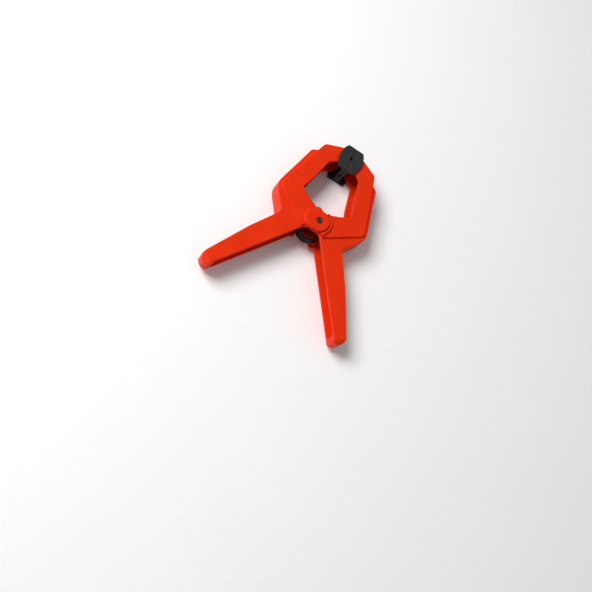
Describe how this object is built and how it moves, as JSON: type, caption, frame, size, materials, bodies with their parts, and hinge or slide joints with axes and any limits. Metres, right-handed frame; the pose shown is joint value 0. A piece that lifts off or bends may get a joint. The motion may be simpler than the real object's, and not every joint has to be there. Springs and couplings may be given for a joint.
{
  "type": "spring clamp",
  "caption": "Small hand-squeezed spring clamp with two channel-shaped plastic arms, swivelling jaw pads and a coil spring on the pivot pin.",
  "frame": {"origin": "centre of the bounding box in X and Y, on the plane the clamp lies on when it rests on its side", "axes": "+Z along the pivot pin, away from the resting side; +Y towards the jaw tips; +X towards the arm that carries the inner ears"},
  "size_m": [0.057, 0.0698, 0.0111],
  "materials": {
    "red_plastic": "satin moulded",
    "black_plastic": "matt moulded",
    "spring_steel": "black oiled wire",
    "pin_steel": "plain dulled"
  },
  "bodies": {
    "left_body": {"left_arm": "red_plastic", "pivot_pin": "pin_steel", "torsion_spring": "spring_steel"},
    "right_body": {"right_arm": "red_plastic"},
    "left_pad_body": {"left_pad": "black_plastic"},
    "right_pad_body": {"right_pad": "black_plastic"}
  },
  "joints": [
    {"name": "jaw_hinge", "type": "hinge", "parent": "left_body", "child": "right_body", "pos_m": [0.00045, 0.00096, 0.00555], "axis": [0, 0, -1], "range_deg": [0, 45], "stiffness_Nm_per_rad": 0.25, "springref_deg": -57.3, "deforming": ["torsion_spring"]},
    {"name": "left_pad_swivel", "type": "hinge", "parent": "left_body", "child": "left_pad_body", "pos_m": [-0.0033, 0.03011, 0.00555], "axis": [0, 0, -1], "range_deg": [0, 25]},
    {"name": "right_pad_swivel", "type": "hinge", "parent": "right_body", "child": "right_pad_body", "pos_m": [0.0033, 0.03011, 0.00555], "axis": [0, 0, 1], "range_deg": [0, 25]}
  ],
  "couplings": [
    {"joint": "left_pad_swivel", "follows": "jaw_hinge", "ratio": 0.5},
    {"joint": "right_pad_swivel", "follows": "jaw_hinge", "ratio": 0.5}
  ]
}
